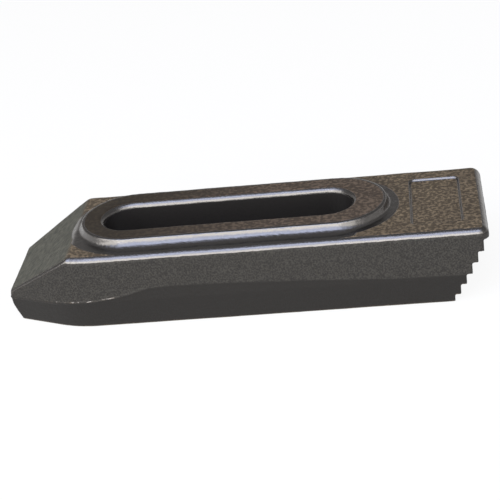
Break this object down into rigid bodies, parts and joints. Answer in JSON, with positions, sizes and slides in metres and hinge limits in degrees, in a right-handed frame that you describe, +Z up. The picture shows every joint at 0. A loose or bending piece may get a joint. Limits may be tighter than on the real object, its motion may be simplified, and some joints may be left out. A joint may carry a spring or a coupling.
{
  "type": "step clamp",
  "caption": "Forged strap clamp with a sloping nose, a long stud slot in a raised collar and a stepped heel for a step block.",
  "frame": {"origin": "on the flat underside, below the centre of the overall box", "axes": "+X along the strap from the nose to the stepped heel, +Y across it, +Z up out of the collar"},
  "size_m": [0.1524, 0.0492, 0.0266],
  "materials": {
    "forged_steel": "drop-forged steel, black oxide, lightly oiled"
  },
  "bodies": {
    "root": {"clamp_strap": "forged_steel"}
  },
  "joints": []
}
